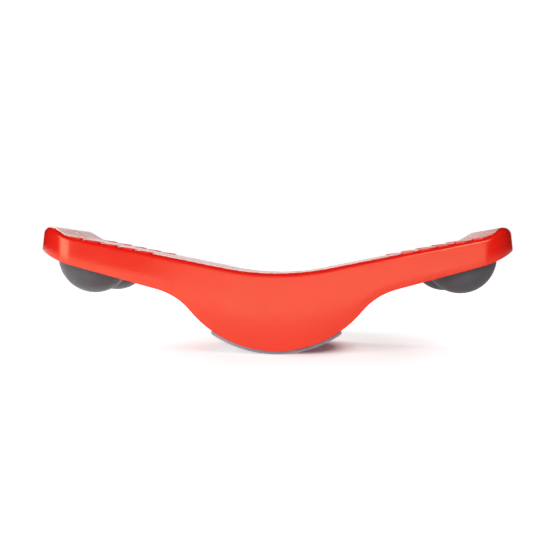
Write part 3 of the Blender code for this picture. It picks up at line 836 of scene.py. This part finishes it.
def floor_material():
    """A pale floor that shows white where no shadow falls, with a painted shadow beside the sole, and a
    painted reflection in glossy faces that is brighter on the left.
    """
    material = bpy.data.materials.new("floor")
    material.use_nodes = True
    tree = material.node_tree
    tree.nodes.clear()
    output = add_node(tree, "ShaderNodeOutputMaterial")
    path = add_node(tree, "ShaderNodeLightPath")
    place = add_node(tree, "ShaderNodeTexCoord").outputs["Object"]
    along = add_node(tree, "ShaderNodeSeparateXYZ", place).outputs["X"]
    # Painted reflection: glossy faces see the floor brighter on the left than on the right
    painted_reflection_glow = add_range(tree, along, -PAINTED_REFLECTION_REACH, PAINTED_REFLECTION_REACH, *PAINTED_REFLECTION_GLOW)
    # Glossy rays get the painted reflection, other rays the floor's glow with its painted shadow
    colour = tree.nodes.new("ShaderNodeMix")
    colour.data_type = "RGBA"
    tree.links.new(path.outputs["Is Glossy Ray"], colour.inputs[0])
    tree.links.new(painted_shadow_glow(tree, place), colour.inputs[6])
    tree.links.new(painted_reflection_glow, colour.inputs[7])
    rays = (path.outputs["Is Camera Ray"], path.outputs["Is Glossy Ray"])
    seen = add_node(tree, "ShaderNodeMath", *rays, operation="MAXIMUM")
    glow = add_node(tree, "ShaderNodeEmission", colour.outputs[2], seen.outputs[0])
    diffuse = add_node(tree, "ShaderNodeBsdfDiffuse", FLOOR_WHITE)
    both = add_node(tree, "ShaderNodeAddShader", diffuse.outputs[0], glow.outputs[0])
    tree.links.new(both.outputs[0], output.inputs["Surface"])
    return material


def make_floor():
    bm = bmesh.new()
    bmesh.ops.create_grid(bm, x_segments=1, y_segments=1, size=FLOOR_SIZE / 2)
    floor = add("floor", bm, bpy.context.scene.collection)
    floor.data.materials.append(floor_material())


def make_world():
    """White to the camera, and a dim even light on all faces.

    Glossy faces see a backdrop behind the board instead, which fades upwards and to the sides.
    """
    world = bpy.data.worlds.new("studio")
    bpy.context.scene.world = world
    world.use_nodes = True
    tree = world.node_tree
    tree.nodes.clear()
    output = add_node(tree, "ShaderNodeOutputWorld")
    path = add_node(tree, "ShaderNodeLightPath")
    direction = add_node(tree, "ShaderNodeTexCoord").outputs["Generated"]
    apart = add_node(tree, "ShaderNodeSeparateXYZ", direction)
    level = add_range(tree, apart.outputs["Z"], *BACKDROP_TOP, BACKDROP_GLOW, 0, "SMOOTHSTEP")
    behind = add_range(tree, apart.outputs["Y"], *BACKDROP_SIDES, 0, 1, "SMOOTHSTEP")
    backdrop = add_node(tree, "ShaderNodeMath", level, behind, operation="MULTIPLY")
    reflected = add_node(tree, "ShaderNodeBackground", WHITE, backdrop.outputs[0])
    plain = add_node(tree, "ShaderNodeBackground", WHITE, WORLD_LIGHT)
    seen = add_node(tree, "ShaderNodeBackground", WHITE, 1.0)
    rays = (path.outputs["Is Glossy Ray"], path.outputs["Is Transmission Ray"])
    glossy = add_node(tree, "ShaderNodeMath", *rays, operation="MAXIMUM")
    unseen = add_node(tree, "ShaderNodeMixShader", glossy.outputs[0], plain.outputs[0], reflected.outputs[0])
    camera = path.outputs["Is Camera Ray"]
    whole = add_node(tree, "ShaderNodeMixShader", camera, unseen.outputs[0], seen.outputs[0])
    tree.links.new(whole.outputs[0], output.inputs["Surface"])


def make_softbox(name, place, aim, size, watts):
    light = bpy.data.lights.new(name, "AREA")
    light.shape = "RECTANGLE"
    light.size, light.size_y = size
    light.energy = watts
    obj = bpy.data.objects.new(name, light)
    obj.location = place
    obj.rotation_euler = (Vector(aim) - Vector(place)).to_track_quat("-Z", "Y").to_euler()
    bpy.context.scene.collection.objects.link(obj)


def make_camera():
    camera = bpy.data.cameras.new("camera")
    camera.lens = CAMERA_LENS
    camera.sensor_width = CAMERA_SENSOR
    camera.shift_x = CAMERA_SHIFT
    obj = bpy.data.objects.new("camera", camera)
    obj.location = CAMERA_PLACE
    obj.rotation_euler = CAMERA_TURN
    bpy.context.scene.collection.objects.link(obj)
    bpy.context.scene.camera = obj


def main():
    make_deck(red_plastic())
    make_bumpers(grey_rubber("bumper_rubber", BUMPER_GREY, BUMPER_GREY_DARK, BUMPER_ROUGHNESS))
    make_sole(grey_rubber("sole_rubber", SOLE_GREY, SOLE_GREY_DARK, SOLE_ROUGHNESS))
    black = black_plastic()
    steel = zinc_steel()
    dress_cad_nodes({
        "bumper_disc": (black, "inner_plastic"),
        "rocker_plate": (black, "inner_plastic"),
        "bumper_screw": (steel, "screw"),
        "rocker_screw": (steel, "screw"),
    })
    make_floor()
    make_world()
    for softbox in SOFTBOXES:
        make_softbox(*softbox)
    make_camera()
    bpy.context.scene.view_settings.view_transform = "Standard"


main()
